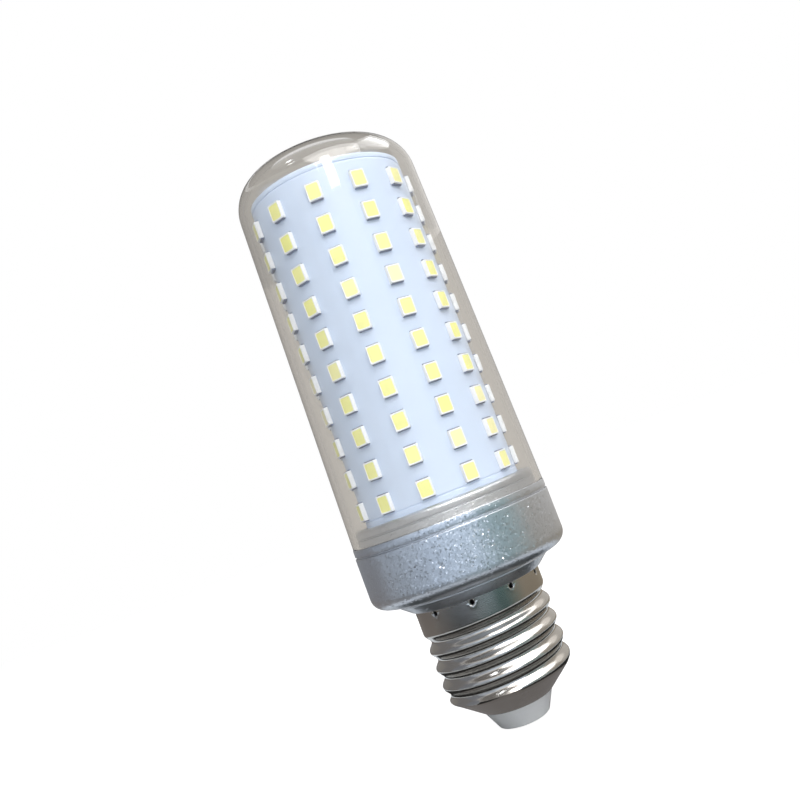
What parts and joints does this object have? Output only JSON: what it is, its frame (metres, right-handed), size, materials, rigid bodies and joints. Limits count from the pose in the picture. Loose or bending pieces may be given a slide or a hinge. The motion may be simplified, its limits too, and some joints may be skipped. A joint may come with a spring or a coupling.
{
  "type": "corn led bulb",
  "caption": "Corn LED lamp: a clear domed cover over a rolled white board with columns of LEDs, a silver collar and a screw cap.",
  "frame": {"origin": "tip of the centre contact, on the lamp's axis", "axes": "+Z along the axis from the screw cap to the dome; one column of LEDs faces -Y"},
  "size_m": [0.041, 0.041, 0.1222],
  "materials": {
    "clear_plastic": "clear, glossy",
    "silver_collar": "satin with a fine sparkle",
    "nickel_plate": "nickel plate, bright",
    "pale_plastic": "moulded",
    "white_mask": "glossy white solder mask",
    "led_white": "moulded",
    "led_phosphor": "silicone with phosphor",
    "led_terminal": "tinned",
    "green_card": "green solder mask",
    "black_case": "moulded",
    "resistor_chip": "glazed",
    "capacitor_sleeve": "shrink sleeve",
    "fuse_body": "lacquered",
    "red_wire": "insulation",
    "white_wire": "insulation",
    "black_wire": "insulation",
    "solder": "bright solder"
  },
  "bodies": {
    "root": {"clear_cover": "clear_plastic", "housing": "silver_collar", "screw_shell": "nickel_plate", "contact_nail": "nickel_plate", "insulator": "pale_plastic", "led_board": "white_mask", "top_plate": "white_mask", "led_housings": "led_white", "led_phosphors": "led_phosphor", "led_terminals": "led_terminal", "driver_card": "green_card", "bridge_rectifier": "black_case", "driver_chip": "black_case", "sense_resistors": "resistor_chip", "bulk_capacitor": "capacitor_sleeve", "fuse_resistor": "fuse_body", "live_wire": "red_wire", "neutral_wire": "white_wire", "led_positive_lead": "red_wire", "led_negative_lead": "black_wire", "solder_joints": "solder"}
  },
  "joints": []
}
